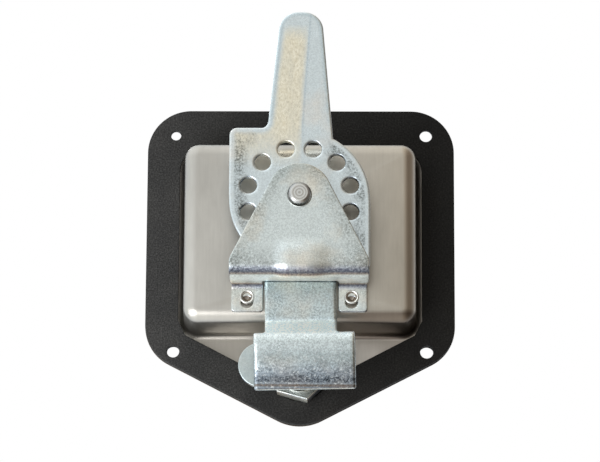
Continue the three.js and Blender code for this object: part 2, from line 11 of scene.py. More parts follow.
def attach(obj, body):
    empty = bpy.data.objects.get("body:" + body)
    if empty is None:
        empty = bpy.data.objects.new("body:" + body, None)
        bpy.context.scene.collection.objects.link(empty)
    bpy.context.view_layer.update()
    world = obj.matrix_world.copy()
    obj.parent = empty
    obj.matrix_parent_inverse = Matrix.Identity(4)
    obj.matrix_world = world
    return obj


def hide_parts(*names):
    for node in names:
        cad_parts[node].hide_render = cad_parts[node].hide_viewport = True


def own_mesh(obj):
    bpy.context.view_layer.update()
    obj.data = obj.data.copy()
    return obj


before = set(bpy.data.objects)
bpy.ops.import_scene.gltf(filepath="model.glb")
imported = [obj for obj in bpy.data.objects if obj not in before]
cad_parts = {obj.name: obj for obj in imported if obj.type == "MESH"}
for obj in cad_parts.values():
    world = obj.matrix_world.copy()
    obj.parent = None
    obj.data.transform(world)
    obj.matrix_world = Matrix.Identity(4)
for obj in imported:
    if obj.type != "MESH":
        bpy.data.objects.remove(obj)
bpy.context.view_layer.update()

MM = 0.001
WELD = 2e-7
SHARP = math.radians(32)
LEFT, RIGHT = -1, 1

# ------------------------------------------------------------ sizes, millimetres, as in the CAD model
# x is right and y is up as seen from the rear, h is the height above the flange's rear face.
PAN_SHEET = 1.5
PAN_HALF, PAN_TOP, PAN_SHOULDER, PAN_APEX = 60.3, 44.4, -52.45, -83.8
PAN_CORNER, PAN_APEX_RADIUS = 17, 18.6
PAN_REAR_EDGE, PAN_FRONT_EDGE = 0.25, 0.3
HOLE_X, HOLE_TOP, HOLE_BOTTOM, HOLE_RADIUS = 49.2, 34.3, -53, 2.9
DISH_HALF, DISH_TOP, DISH_BOTTOM, DISH_CORNER = 44.6, 25.6, -44.9, 5.6
DISH_DEPTH, DISH_DRAFT, DISH_EDGE, DISH_ROOT = 24, math.radians(1.5), 5, 2.3
BUSHING_HOLE = 7.15
GASKET_LOW, GASKET_HIGH, GASKET_INSET = 0.1, 2.9, 0.1
GASKET_APEX, GASKET_SLOPE = -69.1, 0.516
LOCK_Y, LOCK_HOLE, SPACER_RADIUS = -61.2, 8.3, 10.9
NUT_FLATS, NUT_TURN, NUT_HOLE = 21.2, math.radians(14.5), 8.15
CAM_REACH, CAM_RADIUS = 14.7, 8.7
RIVET_X, RIVET_Y, RIVET_HOLE = 20, -36.3, 2.3
BRACKET_MID, BRACKET_SHEET, BRACKET_HALF = 41.5, 2, 26.6
BRACKET_APEX, BRACKET_SHOULDER, BRACKET_HOLE = 12.4, -25, 4.5
BRACKET_FACE, FOOT_MID, FOOT_END, NOTCH_TOP = -30, 25.3, -42, 30.3
PLATE_LOW, PLATE_HIGH, PLATE_RADIUS, PLATE_EAR, PLATE_REACH = 34, 36.5, 26.9, 27, 28
RING_COUNT, RING_RADIUS, RING_HOLE = 12, 20.2, 3.2
BOLT_MID, BOLT_SHEET, BOLT_TOP, BOLT_TILT = 28, 3, 14.5, math.radians(1.2)


def at(x, y, h):
    return Vector((x, -h, y)) * MM


# ------------------------------------------------------------ camera, stage and light

CAMERA_BELOW, CAMERA_ASIDE, CAMERA_ROLL = math.radians(14), math.radians(0.7), math.radians(0.3)
CAMERA_AIM, CAMERA_DISTANCE, CAMERA_LENS = (-0.2, -3.75, 0), 1.3, 198.9
FLOOR_SIZE, FLOOR_Z, FLOOR_TONE = 10, -0.9, (0.8, 0.8, 0.8, 1)

# Brightness by height, tint by side, and how far the backdrop takes over, each against a direction's part.
WORLD_HEIGHT = [
    (-1, 1.15), (-0.85, 0.95), (-0.6, 0.52), (-0.1, 0.66), (0.25, 0.80), (0.6, 1.0), (1, 1.1),
]
WORLD_SIDE = [
    (-1, (1.3, 1.35, 1.35)), (-0.35, (1.15, 1.17, 1.17)), (0, (0.98, 1.0, 0.99)), (0.28, (0.72, 0.66, 0.57)),
    (0.65, (0.24, 0.19, 0.15)), (1, (0.35, 0.30, 0.25)),
]
WORLD_BEHIND = [(-1, 0.0), (-0.05, 0.0), (0.35, 0.35), (0.75, 1.0)]
WORLD_BACKDROP = (0.85, 0.9, 0.95)


def make_camera():
    cos, sin = math.cos, math.sin
    level = Vector((cos(CAMERA_ASIDE), sin(CAMERA_ASIDE), 0))
    ahead = Vector((-sin(CAMERA_ASIDE), cos(CAMERA_ASIDE), 0))
    look = ahead * cos(CAMERA_BELOW) + Vector((0, 0, sin(CAMERA_BELOW)))
    rise = level.cross(look)
    right = level * cos(CAMERA_ROLL) + rise * sin(CAMERA_ROLL)
    up = rise * cos(CAMERA_ROLL) - level * sin(CAMERA_ROLL)
    data = bpy.data.cameras.new("camera")
    data.lens = CAMERA_LENS
    data.clip_start = 0.05
    camera = bpy.data.objects.new("camera", data)
    camera.location = at(*CAMERA_AIM) - look * CAMERA_DISTANCE
    camera.rotation_euler = Matrix((right, up, -look)).transposed().to_euler()
    bpy.context.scene.collection.objects.link(camera)
    bpy.context.scene.camera = camera


def area_light(name, place, aim, size, power):
    data = bpy.data.lights.new(name, "AREA")
    data.shape = "RECTANGLE"
    data.size, data.size_y = size
    data.energy = power
    lamp = bpy.data.objects.new(name, data)
    lamp.location = place
    lamp.rotation_euler = (Vector(place) - Vector(aim)).to_track_quat("Z", "Y").to_euler()
    bpy.context.scene.collection.objects.link(lamp)


def set_or_link(tree, value, socket):
    """Feeds a socket from a number, a colour or another node's output."""
    if isinstance(value, bpy.types.NodeSocket):
        tree.links.new(value, socket)
    elif isinstance(value, tuple):
        socket.default_value = (*value, 1)
    else:
        socket.default_value = value


def blend_colours(tree, factor, first, second, blend="MIX"):
    made = tree.nodes.new("ShaderNodeMix")
    made.data_type = "RGBA"
    made.blend_type = blend
    set_or_link(tree, factor, made.inputs["Factor"])
    set_or_link(tree, first, made.inputs[6])
    set_or_link(tree, second, made.inputs[7])
    return made.outputs[2]


def ramp(tree, value, stops):
    """A colour ramp over a direction's part, which runs from -1 to 1."""
    shift = tree.nodes.new("ShaderNodeMapRange")
    shift.inputs["From Min"].default_value = -1
    tree.links.new(value, shift.inputs["Value"])
    made = tree.nodes.new("ShaderNodeValToRGB")
    tree.links.new(shift.outputs["Result"], made.inputs["Fac"])
    for i, (where, colour) in enumerate(stops):
        stop = made.color_ramp.elements[i] if i < 2 else made.color_ramp.elements.new((where + 1) / 2)
        stop.position = (where + 1) / 2
        stop.color = (*colour, 1) if isinstance(colour, tuple) else (colour, colour, colour, 1)
    return made.outputs["Color"]


def make_world():
    """White to the camera. The metal sees a studio: bright above, below, at the left and behind, darker round
    the horizon, and dim brown at the right."""
    world = bpy.data.worlds.new("studio")
    bpy.context.scene.world = world
    world.use_nodes = True
    tree = world.node_tree
    tree.nodes.clear()
    new, link = tree.nodes.new, tree.links.new
    split = new("ShaderNodeSeparateXYZ")
    link(new("ShaderNodeTexCoord").outputs["Generated"], split.inputs[0])
    height = ramp(tree, split.outputs["Z"], WORLD_HEIGHT)
    side = ramp(tree, split.outputs["X"], WORLD_SIDE)
    behind = ramp(tree, split.outputs["Y"], WORLD_BEHIND)
    front = blend_colours(tree, 1.0, height, side, "MULTIPLY")
    studio, white = new("ShaderNodeBackground"), new("ShaderNodeBackground")
    link(blend_colours(tree, behind, front, WORLD_BACKDROP), studio.inputs["Color"])
    white.inputs["Color"].default_value = (1, 1, 1, 1)
    pick = new("ShaderNodeMixShader")
    link(new("ShaderNodeLightPath").outputs["Is Camera Ray"], pick.inputs["Fac"])
    link(studio.outputs[0], pick.inputs[1])
    link(white.outputs[0], pick.inputs[2])
    link(pick.outputs[0], new("ShaderNodeOutputWorld").inputs["Surface"])


def make_stage():
    bpy.ops.mesh.primitive_plane_add(size=FLOOR_SIZE, location=(0, 0, FLOOR_Z))
    floor = bpy.context.object
    floor.name = "floor"
    floor.visible_glossy = False
    paint = bpy.data.materials.new("pale_floor")
    paint.use_nodes = True
    paint.node_tree.nodes["Principled BSDF"].inputs["Base Color"].default_value = FLOOR_TONE
    floor.data.materials.append(paint)


make_camera()
make_world()
make_stage()
area_light("low_left", place=(-0.28, -0.30, -0.27), aim=(0, 0, -0.01), size=(0.46, 0.27), power=1.6)
area_light("handle_side", place=(-0.4, 1.3, 0.8), aim=(0, 0, 0), size=(0.9, 0.9), power=12)
bpy.context.scene.view_settings.view_transform = "Standard"

# ------------------------------------------------------------ materials


class Paint:
    """One procedural material. Its textures sit on the piece itself, so they move with it."""

    def __init__(self, name, metallic, roughness):
        self.material = bpy.data.materials.new(name)
        self.material.use_nodes = True
        self.tree = self.material.node_tree
        self.shader = self.tree.nodes["Principled BSDF"]
        self.shader.inputs["Metallic"].default_value = metallic
        self.shader.inputs["Roughness"].default_value = roughness
        coords = self.node("ShaderNodeTexCoord")
        self.place = coords.outputs["Object"]
        self.x, self.depth, self.y = self.parts(self.place)
        _, self.facing, self.tilt = self.parts(coords.outputs["Normal"])

    def node(self, kind, **values):
        made = self.tree.nodes.new(kind)
        for key, value in values.items():
            setattr(made, key, value)
        return made

    def link(self, source, target):
        self.tree.links.new(source, target)

    def parts(self, vector):
        split = self.node("ShaderNodeSeparateXYZ")
        self.link(vector, split.inputs[0])
        return split.outputs

    def noise(self, scale, detail=2, stretch=(1, 1, 1), roughness=0.5):
        shape = self.node("ShaderNodeVectorMath", operation="MULTIPLY")
        shape.inputs[1].default_value = stretch
        self.link(self.place, shape.inputs[0])
        made = self.node("ShaderNodeTexNoise")
        made.inputs["Scale"].default_value = scale
        made.inputs["Detail"].default_value = detail
        made.inputs["Roughness"].default_value = roughness
        self.link(shape.outputs[0], made.inputs["Vector"])
        return made.outputs["Fac"]

    def spread(self, value, low, high, to_low=0.0, to_high=1.0):
        """Goes from to_low to to_high as the value goes from low to high."""
        made = self.node("ShaderNodeMapRange", clamp=True)
        for key, number in (("From Min", low), ("From Max", high), ("To Min", to_low), ("To Max", to_high)):
            made.inputs[key].default_value = number
        self.link(value, made.inputs["Value"])
        return made.outputs["Result"]

    def over(self, value, low, high, to_low=0.0, to_high=1.0):
        """As spread, with low and high in millimetres."""
        return self.spread(value, low * MM, high * MM, to_low, to_high)

    def band(self, value, start, low, high, end):
        """One between low and high, falling to nought at start and end, all in millimetres."""
        return self.times(self.over(value, start, low), self.over(value, end, high))

    def maths(self, operation, *values):
        made = self.node("ShaderNodeMath", operation=operation)
        for value, socket in zip(values, made.inputs):
            set_or_link(self.tree, value, socket)
        return made.outputs[0]

    def times(self, first, *others):
        for other in others:
            first = self.maths("MULTIPLY", first, other)
        return first

    def most(self, first, *others):
        for other in others:
            first = self.maths("MAXIMUM", first, other)
        return first

    def size(self, value):
        return self.maths("ABSOLUTE", value)

    def radius(self, x, y):
        return self.maths("SQRT", self.maths("ADD", self.times(x, x), self.times(y, y)))

    def mix(self, factor, first, second, blend="MIX"):
        return blend_colours(self.tree, factor, first, second, blend)

    def tint(self, colour, amount, tone, speckle=0.0):
        """Multiplies the colour by a tone where amount is high, broken up by crystals."""
        if speckle:
            crystals = self.noise(1150, 3, roughness=0.8)
            amount = self.times(amount, self.spread(crystals, 0.42, 0.58, 1.0, 1.0 - speckle))
        return self.mix(amount, colour, self.mix(1.0, colour, tone, "MULTIPLY"))

    def bump(self, height, strength, distance, under=None):
        """A bump whose distance is in millimetres."""
        made = self.node("ShaderNodeBump")
        made.inputs["Strength"].default_value = strength
        made.inputs["Distance"].default_value = distance * MM
        self.link(height, made.inputs["Height"])
        if under:
            self.link(under, made.inputs["Normal"])
        return made.outputs["Normal"]

    def coloured(self, colour):
        self.link(colour, self.shader.inputs["Base Color"])
        return self.material

    def finish(self, colour, roughness, normal):
        self.link(roughness, self.shader.inputs["Roughness"])
        self.link(normal, self.shader.inputs["Normal"])
        return self.coloured(colour)


# Painted reflection: the plating's colour is multiplied by the face's tilt, standing in for the surroundings
# it reflects:
# white when flat, dark violet and brown as it turns down, pale again underneath, blue when it turns up. Each
# is against the normal's Z.
TILT_REFLECTION = [
    (-1, (1.24, 1.20, 1.18)), (-0.95, (1.14, 1.09, 1.06)), (-0.88, (0.66, 0.54, 0.46)),
    (-0.74, (0.27, 0.28, 0.33)), (-0.5, (0.62, 0.63, 0.70)), (-0.24, (0.97, 0.97, 0.98)),
    (-0.05, (1.0, 1.0, 1.0)), (0.2, (1.0, 1.0, 1.0)), (0.7, (1.2, 1.16, 1.15)),
]


def grey(tone):
    return (tone, tone, tone)


def scaled(tone, factor):
    return tuple(factor * part for part in tone)


def zinc(name, cool=(0.79, 0.86, 0.86), warm=(0.88, 0.86, 0.78), grain_dark=0.80, cloud_at=0.55):
    """Bright zinc plating: bluish white with cream clouds and a fine sparkle, times a painted reflection that
    follows the face's tilt. Gives the paint and its colour, for marks to be added."""
    p = Paint(name, 1.0, 0.3)
    cloud = p.spread(p.noise(42, 4, roughness=0.6), cloud_at - 0.09, cloud_at + 0.09)
    grain = p.noise(1500, 3, roughness=0.75)
    colour = p.mix(cloud, cool, warm)
    colour = p.mix(1.0, colour, p.mix(p.spread(grain, 0.42, 0.58), grey(grain_dark), grey(1)), "MULTIPLY")
    # Painted reflection: darkens and tints the colour by the face's tilt.
    colour = p.mix(1.0, colour, ramp(p.tree, p.tilt, TILT_REFLECTION), "MULTIPLY")
    steep = p.spread(p.size(p.tilt), 0.5, 0.7, 0.0, 0.25)
    roughness = p.maths("ADD", p.spread(p.noise(160, 3), 0.3, 0.7, 0.24, 0.36), steep)
    p.finish(colour, roughness, p.bump(p.noise(230, 3), 0.12, 0.2, p.bump(grain, 0.6, 0.07)))
    return p, colour


def plain_zinc(name, cool, warm, grain_dark):
    return zinc(name, cool, warm, grain_dark)[0].material


def plate_zinc(name):
    """The toggle plate's plating: a painted reflection, cream with bright specks down the finger's left half,
    with a darker line beside it and a bluish band along the finger's edge; darker and speckled inside its rim
    on its outer parts.
    """
    p, colour = zinc(name, cool=(0.75, 0.83, 0.86), warm=(0.83, 0.83, 0.80), grain_dark=0.86, cloud_at=0.62)
    edge = p.node("ShaderNodeAttribute", attribute_name="rim").outputs["Fac"]
    streak = p.spread(p.noise(110, 5, stretch=(1, 1, 0.3), roughness=0.65), 0.34, 0.6, 0.35, 1.0)
    mottle = p.noise(1100, 3, stretch=(1, 1, 0.6), roughness=0.8)
    patch = p.spread(p.noise(150, 5, roughness=0.8), 0.40, 0.54, 0.2, 1.0)

    # Painted reflection: cream down the finger's left half, mottled and with bright specks, up to a crease
    # that leans with height.
    crease = p.maths("SUBTRACT", p.x, p.over(p.y, 30, 75, 0.2 * MM, 3.2 * MM))
    cream = p.times(p.over(crease, 0.8, -1.0), p.over(edge, 1.4, 3.2), p.band(p.y, 12, 30, 62.5, 69.5))
    colour = p.mix(p.times(cream, 0.8), colour, (0.78, 0.75, 0.64))
    colour = p.mix(p.times(cream, streak, 0.8), colour, (0.87, 0.79, 0.60))
    colour = p.mix(p.times(cream, streak, p.spread(mottle, 0.49, 0.60)), colour, (1.0, 0.95, 0.80))
    colour = p.tint(colour, p.times(cream, p.spread(mottle, 0.44, 0.36)), (0.84, 0.84, 0.85))

    # Painted reflection: a darker line beside the crease, and a bluish band along the finger's edge.
    line = p.times(p.band(crease, 0.3, 0.7, 1.0, 1.6), p.over(p.y, 20, 30))
    colour = p.tint(colour, line, (0.86, 0.88, 0.90))
    finger_rim = p.times(p.band(edge, 0.0, 0.6, 1.2, 2.0), p.over(p.y, 28, 34))
    colour = p.tint(colour, finger_rim, (0.84, 0.88, 0.90), speckle=0.3)

    # Darker and speckled inside the rim on the plate's outer parts.
    dark_inside_rim = p.times(p.band(edge, 1.6, 2.3, 4.5, 8.0), p.over(p.y, 34, 26))
    outer = p.most(p.over(p.x, -16.0, -18.5), p.over(p.x, 10.5, 13.0), p.over(p.y, 21, 17))
    colour = p.tint(colour, p.times(dark_inside_rim, outer, patch), (0.28, 0.28, 0.27), speckle=0.9)
    return p.coloured(colour)


def bracket_zinc(name):
    """The bracket's plating: greyer and sparkling at its apex and down its slopes, with a painted dark
    reflection, violet and sparkling, above and round its bend.
    """
    p, colour = zinc(name)
    patch = p.spread(p.noise(120, 4, roughness=0.7), 0.34, 0.62, 0.25, 1.0)
    slope = p.maths("ADD", p.size(p.x), p.times(p.y, 0.47))
    colour = p.tint(colour, p.times(p.over(slope, 5.5, 12.5), patch), (0.52, 0.52, 0.50), speckle=0.85)
    colour = p.tint(colour, p.over(p.y, 3, 11), (0.70, 0.71, 0.70), speckle=0.4)
    # Painted reflection: a dark, sparkling band above the bend, and a dark violet one round it.
    low = p.times(p.band(p.y, -29.8, -28.5, -27.0, -18.5), p.over(p.size(p.x), 7, 13))
    colour = p.tint(colour, low, (0.60, 0.60, 0.60), speckle=0.95)
    bend = p.times(p.spread(p.tilt, -0.95, -0.86), p.spread(p.tilt, -0.30, -0.60))
    colour = p.tint(colour, bend, (0.45, 0.44, 0.52), speckle=0.9)
    return p.coloured(colour)


def bolt_zinc(name):
    """The bolt's plating: bluish, with painted shadow under the bracket, a painted highlight and a bluish
    painted reflection at its step, and painted dark reflections on its nose, flecked with painted glints,
    ending in a dark band and a brown line.
    """
    p, colour = zinc(name, cool=(0.69, 0.79, 0.81), warm=(0.78, 0.80, 0.76), grain_dark=0.66)
    # Painted shadow of the bracket across the top of the neck.
    colour = p.tint(colour, p.over(p.y, -39.5, -33.0), (0.70, 0.76, 0.79))
    # Painted highlight at the step, and a bluish painted reflection on it.
    colour = p.tint(colour, p.band(p.y, -45.0, -47.5, -57.0, -60.0), (1.26, 1.23, 1.22))
    colour = p.tint(colour, p.band(p.y, -44.0, -48.0, -51.5, -53.5), (1.03, 1.10, 1.19))
    # Painted reflection on the nose: dark in patches, broken by crystals and flecked with painted glints,
    # then a dark band and a brown line at its lower edge.
    patch = p.spread(p.noise(120, 5, stretch=(0.6, 1, 1), roughness=0.75), 0.36, 0.60, 0.3, 1.0)
    nose_dark_reflection = p.times(p.band(p.y, -71.5, -70.0, -68.0, -59.0), patch)
    colour = p.tint(colour, nose_dark_reflection, (0.26, 0.27, 0.28), speckle=1.0)
    painted_glints = p.times(p.over(p.y, -55.5, -60.0), p.spread(p.noise(900, 3, roughness=0.8), 0.56, 0.66), 0.65)
    colour = p.mix(painted_glints, colour, (0.90, 0.95, 0.96))
    colour = p.tint(colour, p.band(p.y, -70.6, -70.1, -69.0, -68.0), (0.30, 0.31, 0.34), speckle=0.85)
    colour = p.tint(colour, p.band(p.y, -72.0, -71.7, -71.2, -70.8), (0.52, 0.38, 0.29), speckle=0.3)
    return p.coloured(colour)


def stainless(name, tone=(0.60, 0.58, 0.54)):
    """Drawn stainless sheet: warm grey, faint grain down the sheet, with painted shade that makes it browner
    to the right.
    It is dark on the flange's sheared edge. Painted shade darkens the flange's rear face at the left and the
    dish's down-facing wall at the right, and painted light brightens the flange's rear face at the right."""
    p = Paint(name, 1.0, 0.36)
    grain = p.noise(1100, 3, stretch=(1, 0.3, 0.08), roughness=0.65)
    cloud = p.noise(34, 4, stretch=(1, 1, 0.6), roughness=0.6)
    colour = p.mix(p.spread(cloud, 0.35, 0.65), scaled(tone, 0.88), scaled(tone, 1.08))
    colour = p.tint(colour, p.spread(grain, 0.7, 0.3), grey(0.93))
    # Painted shade: darker and browner towards the right.
    colour = p.tint(colour, p.over(p.x, -30, 45), (0.86, 0.81, 0.74))
    flange = p.times(p.over(p.depth, -5, -1), p.spread(p.facing, -0.3, -0.8))
    # Painted shade on the flange's rear face at the left, painted light on it at the right.
    colour = p.tint(colour, p.times(flange, p.over(p.x, 12, -12)), (0.78, 0.76, 0.74))
    colour = p.tint(colour, p.times(flange, p.over(p.x, 6, 22)), (1.15, 1.15, 1.20))
    outside = p.most(p.over(p.y, 29.5, 31), p.over(p.y, -49, -50), p.over(p.size(p.x), 48.8, 50))
    sheared = p.times(p.over(p.depth, -0.3, 0), p.spread(p.size(p.facing), 0.99, 0.9), outside)
    colour = p.tint(colour, sheared, (0.24, 0.20, 0.16))
    # Painted shade on the down-facing dish wall at the right.
    under = p.times(p.spread(p.tilt, -0.12, -0.4), p.over(p.x, 0, 24))
    colour = p.tint(colour, under, (0.42, 0.38, 0.36))
    p.link(p.mix(sheared, grey(1), grey(0.05)), p.shader.inputs["Specular Tint"])
    roughness = p.most(p.spread(cloud, 0.3, 0.7, 0.40, 0.32), p.times(sheared, 0.9))
    return p.finish(colour, roughness, p.bump(grain, 0.15, 0.04))


def turned_steel(name, tone=(0.74, 0.74, 0.72)):
    """Machined steel, faintly clouded and finely marked."""
    p = Paint(name, 1.0, 0.25)
    cloud = p.noise(160)
    colour = p.mix(p.spread(cloud, 0.3, 0.7), scaled(tone, 0.90), tone)
    return p.finish(colour, p.spread(cloud, 0.3, 0.7, 0.22, 0.32), p.bump(p.noise(420), 0.06, 0.03))


def spindle_steel(name):
    """The spindle's steel: lathe rings across its rear end, and a darker rim."""
    p = Paint(name, 1.0, 0.28)
    radius = p.radius(p.x, p.y)
    rings = p.maths("SINE", p.times(radius, 2 * math.pi / (1.1 * MM)))
    cloud = p.noise(160)
    ends = p.spread(p.facing, -0.9, -0.98)
    colour = p.mix(p.spread(cloud, 0.3, 0.7), (0.66, 0.66, 0.64), (0.76, 0.76, 0.74))
    colour = p.tint(colour, p.times(ends, p.spread(rings, -0.3, 0.9)), (0.70, 0.68, 0.66))
    rim = p.times(p.over(radius, 3.2, 3.5), p.over(p.depth, -43.5, -44.5))
    colour = p.tint(colour, rim, (0.62, 0.62, 0.64))
    roughness = p.spread(cloud, 0.3, 0.7, 0.24, 0.34)
    return p.finish(colour, roughness, p.bump(p.times(ends, rings), 0.25, 0.05))


def rivet_steel(name):
    """The foot rivets' steel: bright lips, and painted shade inside the rolled hollows, brown and darkest in
    the middle.
    """
    p = Paint(name, 1.0, 0.28)
    across = p.maths("SUBTRACT", p.size(p.x), RIVET_X * MM)
    radius = p.radius(across, p.maths("SUBTRACT", p.y, RIVET_Y * MM))
    smear = p.noise(500)
    colour = p.mix(p.spread(smear, 0.3, 0.7), (0.62, 0.62, 0.60), (0.74, 0.74, 0.72))
    # Painted shade in the rivet's hollow: brown, and darkest at the middle.
    colour = p.tint(colour, p.over(radius, 2.1, 1.8), (0.60, 0.52, 0.46))
    colour = p.mix(p.over(radius, 1.1, 0.8), colour, (0.30, 0.26, 0.23))
    return p.finish(colour, p.spread(smear, 0.3, 0.7, 0.26, 0.38), p.bump(smear, 0.08, 0.04))


def polished(name, tone, roughness):
    """Plated or polished metal, slightly smeared."""
    p = Paint(name, 1.0, roughness)
    smear = p.noise(90, 3)
    colour = p.mix(p.spread(smear, 0.3, 0.7), scaled(tone, 0.9), tone)
    smeared = p.spread(smear, 0.3, 0.7, roughness * 0.8, roughness * 1.4)
    return p.finish(colour, smeared, p.bump(smear, 0.05, 0.1))


def rubber(name):
    """Black cellular rubber sheet with a fine tooth and a little dust, and painted light that makes it
    lighter at the left and darker to the right.
    """
    p = Paint(name, 0.0, 0.7)
    tooth = p.noise(1700, roughness=0.6)
    dust = p.noise(60, 4)
    # Painted light: lighter at the left and darker to the right.
    colour = p.mix(p.over(p.x, -55, 50), grey(0.034), (0.010, 0.0097, 0.0092))
    colour = p.tint(colour, p.spread(dust, 0.4, 0.75), (1.4, 1.38, 1.35))
    colour = p.tint(colour, p.spread(tooth, 0.50, 0.68), grey(1.7))
    colour = p.tint(colour, p.spread(tooth, 0.48, 0.34), grey(0.6))
    p.shader.inputs["Specular IOR Level"].default_value = 0.12
    return p.finish(colour, p.spread(dust, 0.3, 0.7, 0.62, 0.78), p.bump(tooth, 0.5, 0.12))


ZINC_PLATE = plate_zinc("zinc_plate")
ZINC_BRACKET = bracket_zinc("zinc_bracket")
ZINC_BOLT = bolt_zinc("zinc_bolt")
ZINC_SMALL = plain_zinc("zinc_small", cool=(0.70, 0.75, 0.73), warm=(0.74, 0.73, 0.66), grain_dark=0.85)
ZINC_CAM = plain_zinc("zinc_cam", cool=(0.56, 0.64, 0.65), warm=(0.60, 0.64, 0.62), grain_dark=0.88)
STAINLESS = stainless("stainless_sheet")
HANDLE_STEEL = stainless("handle_steel", tone=(0.66, 0.64, 0.61))
TURNED = turned_steel("turned_steel")
SPINDLE_STEEL = spindle_steel("spindle_steel")
RIVET_STEEL = rivet_steel("rivet_steel")
SPRING = polished("spring_steel", tone=(0.5, 0.5, 0.49), roughness=0.3)
CHROME = polished("chrome", tone=(0.83, 0.84, 0.83), roughness=0.14)
BRASS = polished("brass", tone=(0.71, 0.56, 0.30), roughness=0.3)
RUBBER = rubber("black_rubber")

# ------------------------------------------------------------ mesh helpers

# How far a grid point has to be from the edge of a sheet to be used.
GRID_CLEAR = 0.3


def rounded(corners, step=6):
    """A closed loop of points from [x, y, radius] corners. A corner's arc has a point every few degrees."""
    loop = []
    for i, (x, y, radius) in enumerate(corners):
        corner = Vector((x, y))
        back = (Vector(corners[i - 1][:2]) - corner).normalized()
        on = (Vector(corners[(i + 1) % len(corners)][:2]) - corner).normalized()
        if radius == 0:
            loop.append((x, y))
            continue
        half = back.angle(on) / 2
        centre = corner + (back + on).normalized() * (radius / math.sin(half))
        first = corner + back * (radius / math.tan(half)) - centre
        sweep = math.pi - 2 * half
        turn = 1 if back.x * on.y - back.y * on.x < 0 else -1
        count = max(2, round(math.degrees(sweep) / step))
        start = math.atan2(first.y, first.x)
        for k in range(count + 1):
            angle = start + turn * sweep * k / count
            loop.append((centre.x + radius * math.cos(angle), centre.y + radius * math.sin(angle)))
    return loop


def circle(x, y, radius, count=48):
    """A hole. It runs clockwise, so the metal is on its left."""
    turns = [-2 * math.pi * k / count for k in range(count)]
    return [(x + radius * math.cos(a), y + radius * math.sin(a)) for a in turns]


def square_hole(half, radius, y=0):
    """A square hole on the middle line, clockwise as circle is."""
    corners = ((half, -half), (half, half), (-half, half), (-half, -half))
    loop = rounded([(cx, cy, radius) for cx, cy in corners])
    return [(cx, cy + y) for cx, cy in reversed(loop)]


def arc(x, y, radius, start, end, step=3):
    """Sharp [x, y, radius] corners along an arc, in degrees, for use in a rounded loop."""
    count = max(1, round(abs(end - start) / step))
    turns = [math.radians(start + (end - start) * k / count) for k in range(count + 1)]
    return [(x + radius * math.cos(a), y + radius * math.sin(a), 0) for a in turns]


def divided(loop, step):
    """The same loop with no edge longer than a step."""
    points = []
    for (x0, y0), (x1, y1) in zip(loop, loop[1:] + loop[:1]):
        count = max(1, math.ceil(math.hypot(x1 - x0, y1 - y0) / step))
        points += [(x0 + (x1 - x0) * k / count, y0 + (y1 - y0) * k / count) for k in range(count)]
    return points


def inset(loop, amount):
    """The loop moved to its left, into the metal."""
    if amount == 0:
        return list(loop)
    points = np.array(loop)
    ahead = np.roll(points, -1, 0) - points
    ahead /= np.linalg.norm(ahead, axis=1)[:, None]
    left = np.stack([-ahead[:, 1], ahead[:, 0]], 1)
    before = np.roll(left, 1, 0)
    mitre = (left + before) / (1 + (left * before).sum(1))[:, None]
    return [tuple(p) for p in points + amount * mitre]


def within(points, loops):
    """Which points lie inside an odd number of the loops."""
    x, y = points[:, 0:1], points[:, 1:2]
    crossings = np.zeros(len(points), int)
    for loop in loops:
        a = np.array(loop)
        b = np.roll(a, -1, 0)
        spans = (a[:, 1] > y) != (b[:, 1] > y)
        rise = np.where(b[:, 1] == a[:, 1], 1, b[:, 1] - a[:, 1])
        at_x = a[:, 0] + (y - a[:, 1]) * (b[:, 0] - a[:, 0]) / rise
        crossings += (spans & (x < at_x)).sum(1)
    return crossings % 2 == 1


def triangles(loops, grid=None):
    """Points and triangles that fill the loops, with the grid's points that lie inside them."""
    coords, edges = [], []
    for loop in loops:
        first = len(coords)
        coords += loop
        edges += [(first + i, first + (i + 1) % len(loop)) for i in range(len(loop))]
    if grid:
        edge_points = np.array(coords)
        spots = np.array([(x, y) for x in grid[0] for y in grid[1]])
        spots = spots[within(spots, loops)]
        nearest = np.array([np.hypot(*(edge_points - spot).T).min() for spot in spots])
        coords += [tuple(spot) for spot in spots[nearest > GRID_CLEAR]]
    points, _, faces, *_ = delaunay_2d_cdt([Vector(c) for c in coords], edges, [], 0, 1e-6)
    flat = np.array([tuple(p) for p in points])
    middles = np.array([flat[list(f)].mean(0) for f in faces])
    return points, [f for f, keep in zip(faces, within(middles, loops)) if keep]


def skin(mesh, rings):
    """Quads between each closed ring of points and the next."""
    for first, second in zip(rings, rings[1:]):
        a = [mesh.verts.new(p) for p in first]
        b = [mesh.verts.new(p) for p in second]
        for i in range(len(a)):
            j = (i + 1) % len(a)
            mesh.faces.new((a[i], a[j], b[j], b[i]))


def cap(mesh, loops, h, place=at, grid=None):
    points, faces = triangles(loops, grid)
    verts = [mesh.verts.new(place(p[0], p[1], h)) for p in points]
    for face in faces:
        mesh.faces.new([verts[i] for i in face])


def rim_profile(low, high, roll, under):
    """(inset, h) pairs from the upper face round the edge to the lower. roll is (width, depth)."""
    profile = []
    for k in range(6):
        angle = k / 5 * math.pi / 2
        profile.append((roll[0] * (1 - math.sin(angle)), high - roll[1] * (1 - math.cos(angle))))
    for k in range(4):
        angle = k / 3 * math.pi / 2
        profile.append((under * (1 - math.cos(angle)), low + under * (1 - math.sin(angle))))
    return profile


def rim(mesh, loop, profile, place=at):
    """The sheet's edge along a loop."""
    skin(mesh, [[place(x, y, h) for x, y in inset(loop, amount)] for amount, h in profile])


